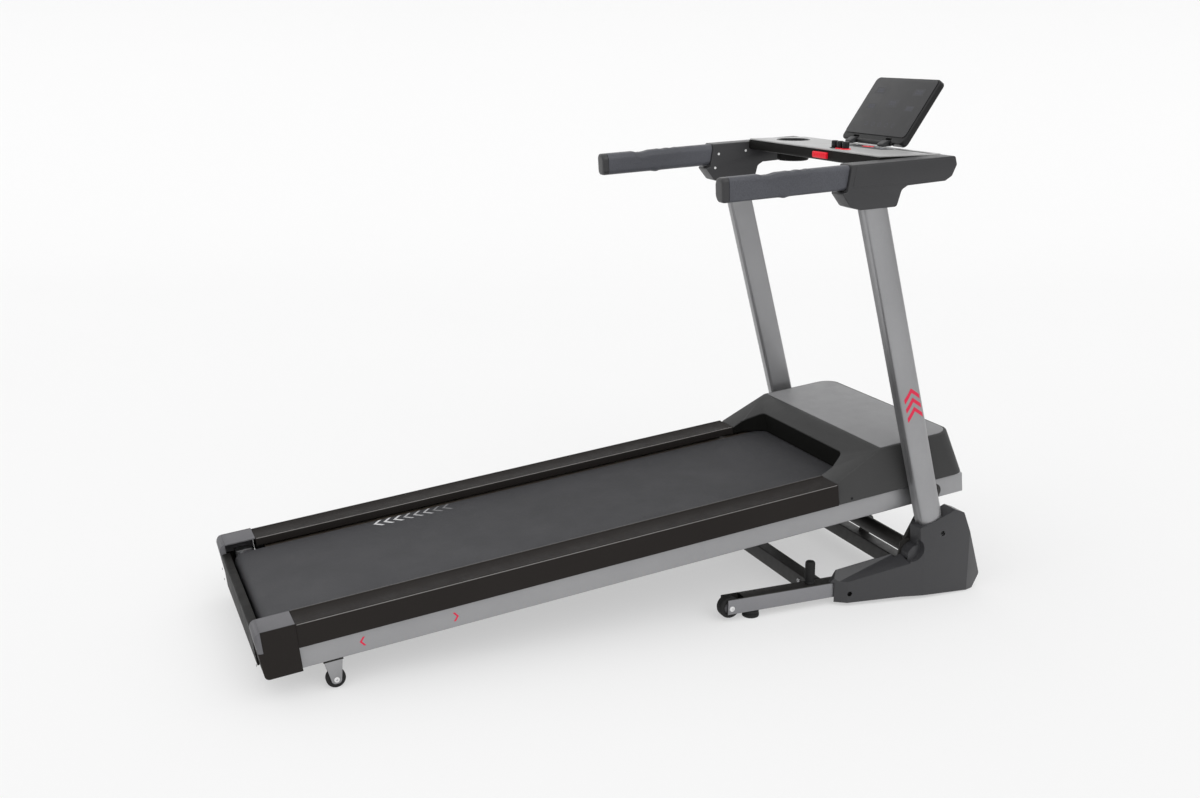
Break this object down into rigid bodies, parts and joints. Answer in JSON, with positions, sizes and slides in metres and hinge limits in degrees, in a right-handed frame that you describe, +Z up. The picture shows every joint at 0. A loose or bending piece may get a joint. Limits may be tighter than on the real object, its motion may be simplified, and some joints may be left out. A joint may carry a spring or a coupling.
{
  "type": "treadmill",
  "caption": "Folding motorised treadmill with powered incline, foot rails, handlebars, a cup holder and a tilting display on a slim console.",
  "frame": {"origin": "centre of the bounding box's base, on the floor", "axes": "+X the runner's right, +Y the way the runner faces, +Z up"},
  "size_m": [0.744, 1.831, 1.275],
  "materials": {
    "frame_paint": "satin grey paint",
    "black_paint": "satin black paint",
    "cover_plastic": "fine grained charcoal plastic",
    "rail_plastic": "ribbed near-black plastic",
    "cap_plastic": "grey moulded plastic",
    "hood_plastic": "satin charcoal plastic",
    "console_silver": "pale silver plastic",
    "screen_gloss": "dark glossy overlay",
    "belt_rubber": "textured dark grey belt",
    "grip_foam": "soft foam sleeve",
    "black_rubber": "matt black rubber",
    "red_plastic": "red moulded plastic",
    "key_plastic": "black key plastic",
    "steel": "bright turned steel",
    "motor_shell": "black painted motor casing",
    "board_wood": "black laminated board",
    "circuit": "circuit board"
  },
  "bodies": {
    "base": {"base_tube_right": "frame_paint", "base_tube_left": "frame_paint", "rear_crossbar": "black_paint", "front_crossbar": "black_paint", "foot_pad_rear_right": "black_rubber", "foot_pad_rear_left": "black_rubber", "foot_pad_front_right": "black_rubber", "foot_pad_front_left": "black_rubber", "bumper_post_right": "black_rubber", "bumper_post_left": "black_rubber", "base_cover_right": "cover_plastic", "base_cover_left": "cover_plastic", "upright_right": "frame_paint", "upright_left": "frame_paint", "bracket_cover_right": "cover_plastic", "bracket_cover_left": "cover_plastic", "handlebar_right": "grip_foam", "handlebar_left": "grip_foam", "display_mount_right": "cover_plastic", "display_mount_left": "cover_plastic", "console_housing": "cover_plastic", "console_top": "console_silver"},
    "deck": {"side_tube_right": "frame_paint", "side_tube_left": "frame_paint", "front_crossmember": "black_paint", "mid_crossmember": "black_paint", "rear_crossmember": "black_paint", "deck_board": "board_wood", "running_belt": "belt_rubber", "foot_rail_right": "rail_plastic", "foot_rail_left": "rail_plastic", "rear_cap_right": "cap_plastic", "rear_cap_left": "cap_plastic", "rear_cover": "rail_plastic", "motor_hood": "hood_plastic", "drive_motor": "motor_shell", "control_board": "circuit", "drive_belt": "black_rubber"},
    "lift_frame": {"lift_frame": "black_paint"},
    "lift_yoke": {"lift_yoke": "black_paint"},
    "lift_motor": {"lift_motor": "motor_shell"},
    "lift_screw": {"lift_screw": "steel"},
    "damper_body": {"damper_cylinder": "motor_shell"},
    "damper_rod": {"damper_rod": "steel"},
    "front_roller": {"front_roller": "steel"},
    "rear_roller": {"rear_roller": "steel"},
    "motor_pulley": {"motor_pulley": "steel"},
    "display": {"display_housing": "cover_plastic", "display_lens": "screen_gloss"},
    "safety_key": {"safety_key": "red_plastic"},
    "deck_wheel_right": {"deck_wheel_right": "black_rubber"},
    "transport_wheel_right": {"transport_wheel_right": "black_rubber"},
    "deck_wheel_left": {"deck_wheel_left": "black_rubber"},
    "transport_wheel_left": {"transport_wheel_left": "black_rubber"},
    "speed_key": {"speed_key": "key_plastic"},
    "incline_key": {"incline_key": "key_plastic"},
    "program_key": {"program_key": "key_plastic"},
    "start_key": {"start_key": "key_plastic"},
    "stop_key": {"stop_key": "red_plastic"}
  },
  "joints": [
    {"name": "incline", "type": "hinge", "parent": "base", "child": "lift_frame", "pos_m": [0, 0.7198, 0.122], "axis": [-1, 0, 0], "range_deg": [0, 36]},
    {"name": "yoke_pivot", "type": "hinge", "parent": "lift_frame", "child": "lift_yoke", "pos_m": [0, 0.7908, 0.262], "axis": [-1, 0, 0], "range_deg": [-34, 1]},
    {"name": "deck_fold", "type": "hinge", "parent": "lift_yoke", "child": "deck", "pos_m": [0, 0.7908, 0.262], "axis": [-1, 0, 0], "range_deg": [0, 64]},
    {"name": "lift_motor_pivot", "type": "hinge", "parent": "lift_yoke", "child": "lift_motor", "pos_m": [0, 0.78432, 0.32165], "axis": [-1, 0, 0], "range_deg": [-1, 21]},
    {"name": "lift_screw_slide", "type": "slide", "parent": "lift_motor", "child": "lift_screw", "axis": [0, -0.0274, 0.9996], "range_m": [-0.001, 0.058]},
    {"name": "damper_pivot", "type": "hinge", "parent": "lift_yoke", "child": "damper_body", "pos_m": [-0.12, 0.76465, 0.22496], "axis": [-1, 0, 0], "range_deg": [-1, 66]},
    {"name": "damper_slide", "type": "slide", "parent": "damper_body", "child": "damper_rod", "axis": [0, -0.9987, -0.0518], "range_m": [-0.001, 0.052]},
    {"name": "front_roller_spin", "type": "hinge", "parent": "deck", "child": "front_roller", "pos_m": [0, 0.65242, 0.28579], "axis": [1, 0, 0], "continuous": true},
    {"name": "rear_roller_spin", "type": "hinge", "parent": "deck", "child": "rear_roller", "pos_m": [0, -0.85869, 0.12163], "axis": [1, 0, 0], "continuous": true},
    {"name": "motor_spin", "type": "hinge", "parent": "deck", "child": "motor_pulley", "pos_m": [-0.23, 0.76303, 0.33241], "axis": [1, 0, 0], "continuous": true},
    {"name": "deck_wheel_right_spin", "type": "hinge", "parent": "deck", "child": "deck_wheel_right", "pos_m": [0.2885, -0.74428, 0.02221], "axis": [1, 0, 0], "continuous": true},
    {"name": "deck_wheel_left_spin", "type": "hinge", "parent": "deck", "child": "deck_wheel_left", "pos_m": [-0.2885, -0.74428, 0.02221], "axis": [1, 0, 0], "continuous": true},
    {"name": "transport_wheel_right_spin", "type": "hinge", "parent": "base", "child": "transport_wheel_right", "pos_m": [0.297, 0.2158, 0.0345], "axis": [1, 0, 0], "continuous": true},
    {"name": "transport_wheel_left_spin", "type": "hinge", "parent": "base", "child": "transport_wheel_left", "pos_m": [-0.297, 0.2158, 0.0345], "axis": [1, 0, 0], "continuous": true},
    {"name": "display_tilt", "type": "hinge", "parent": "base", "child": "display", "pos_m": [0, 0.7548, 1.1165], "axis": [1, 0, 0], "range_deg": [-12, 30]},
    {"name": "safety_key_pull", "type": "slide", "parent": "base", "child": "safety_key", "axis": [0, -1, 0], "range_m": [0, 0.032]},
    {"name": "speed_key_press", "type": "slide", "parent": "base", "child": "speed_key", "axis": [0, 0, -1], "range_m": [0, 0.003], "stiffness_N_per_m": 400, "springref_m": -0.001},
    {"name": "incline_key_press", "type": "slide", "parent": "base", "child": "incline_key", "axis": [0, 0, -1], "range_m": [0, 0.003], "stiffness_N_per_m": 400, "springref_m": -0.001},
    {"name": "program_key_press", "type": "slide", "parent": "base", "child": "program_key", "axis": [0, 0, -1], "range_m": [0, 0.003], "stiffness_N_per_m": 400, "springref_m": -0.001},
    {"name": "start_key_press", "type": "slide", "parent": "base", "child": "start_key", "axis": [0, 0, -1], "range_m": [0, 0.0015], "stiffness_N_per_m": 800, "springref_m": -0.001},
    {"name": "stop_key_press", "type": "slide", "parent": "base", "child": "stop_key", "axis": [0, 0, -1], "range_m": [0, 0.0015], "stiffness_N_per_m": 800, "springref_m": -0.001}
  ],
  "couplings": [
    {"joint": "yoke_pivot", "follows": "incline", "ratio": -0.92923},
    {"joint": "lift_motor_pivot", "follows": "incline", "ratio": 0.55829},
    {"joint": "lift_screw_slide", "follows": "incline", "m_per_rad": 0.089532},
    {"joint": "damper_pivot", "follows": "deck_fold", "ratio": 1.0106},
    {"joint": "damper_slide", "follows": "deck_fold", "m_per_rad": 0.042799},
    {"joint": "rear_roller_spin", "follows": "front_roller_spin", "ratio": 1},
    {"joint": "motor_spin", "follows": "front_roller_spin", "ratio": 2.2917}
  ]
}
